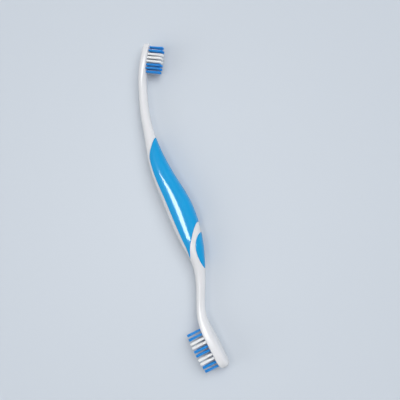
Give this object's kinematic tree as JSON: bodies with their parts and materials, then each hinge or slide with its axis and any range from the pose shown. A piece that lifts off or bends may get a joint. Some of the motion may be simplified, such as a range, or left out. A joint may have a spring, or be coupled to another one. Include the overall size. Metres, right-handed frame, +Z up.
{
  "type": "pet toothbrush",
  "caption": "Double-ended pet toothbrush: a rigid white moulding with a large and a small brush head, a thick S-shaped handle with soft blue grips, and stapled bristle tufts.",
  "frame": {"origin": "centre of the underside of the whole brush's box: the brush lies on its side on Z = 0, on the flat of its grip", "axes": "+X along the brush towards the small head; +Y the way the large head's bristles point; +Z up, across the plane that the handle's S lies in"},
  "size_m": [0.2239, 0.0296, 0.0143],
  "materials": {
    "body_white": "satin-gloss moulded polypropylene, opaque white",
    "grip_blue": "soft thermoplastic elastomer, sky blue, satin",
    "bristle_blue": "blue nylon filaments in round tufts",
    "bristle_white": "translucent white nylon filaments in round tufts",
    "anchor_metal": "nickel silver, a pale copper alloy, flat drawn wire; used only by the visual model's tuft anchors"
  },
  "bodies": {
    "root": {"brush_body": "body_white", "main_grip": "grip_blue", "thumb_pad": "grip_blue", "large_head_tuft_01_a": "bristle_blue", "large_head_tuft_01_b": "bristle_blue", "large_head_tuft_02_a": "bristle_blue", "large_head_tuft_02_b": "bristle_blue", "large_head_tuft_02_c": "bristle_blue", "large_head_tuft_03_a": "bristle_white", "large_head_tuft_03_b": "bristle_white", "large_head_tuft_03_c": "bristle_white", "large_head_tuft_03_d": "bristle_white", "large_head_tuft_04_a": "bristle_white", "large_head_tuft_04_b": "bristle_white", "large_head_tuft_04_c": "bristle_white", "large_head_tuft_04_d": "bristle_white", "large_head_tuft_05_a": "bristle_blue", "large_head_tuft_05_b": "bristle_blue", "large_head_tuft_05_c": "bristle_blue", "large_head_tuft_05_d": "bristle_blue", "large_head_tuft_06_a": "bristle_blue", "large_head_tuft_06_b": "bristle_blue", "large_head_tuft_06_c": "bristle_blue", "large_head_tuft_06_d": "bristle_blue", "large_head_tuft_07_a": "bristle_white", "large_head_tuft_07_b": "bristle_white", "large_head_tuft_07_c": "bristle_white", "large_head_tuft_07_d": "bristle_white", "large_head_tuft_08_a": "bristle_white", "large_head_tuft_08_b": "bristle_white", "large_head_tuft_08_c": "bristle_white", "large_head_tuft_08_d": "bristle_white", "large_head_tuft_09_a": "bristle_blue", "large_head_tuft_09_b": "bristle_blue", "large_head_tuft_09_c": "bristle_blue", "large_head_tuft_10_a": "bristle_blue", "large_head_tuft_10_b": "bristle_blue", "small_head_tuft_01_a": "bristle_blue", "small_head_tuft_01_b": "bristle_blue", "small_head_tuft_02_a": "bristle_blue", "small_head_tuft_02_b": "bristle_blue", "small_head_tuft_02_c": "bristle_blue", "small_head_tuft_03_a": "bristle_white", "small_head_tuft_03_b": "bristle_white", "small_head_tuft_03_c": "bristle_white", "small_head_tuft_04_a": "bristle_white", "small_head_tuft_04_b": "bristle_white", "small_head_tuft_04_c": "bristle_white", "small_head_tuft_05_a": "bristle_white", "small_head_tuft_05_b": "bristle_white", "small_head_tuft_05_c": "bristle_white", "small_head_tuft_06_a": "bristle_blue", "small_head_tuft_06_b": "bristle_blue", "small_head_tuft_06_c": "bristle_blue", "small_head_tuft_07_a": "bristle_blue", "small_head_tuft_07_b": "bristle_blue", "small_head_tuft_07_c": "bristle_blue", "small_head_tuft_08_a": "bristle_blue", "small_head_tuft_08_b": "bristle_blue"}
  },
  "joints": []
}
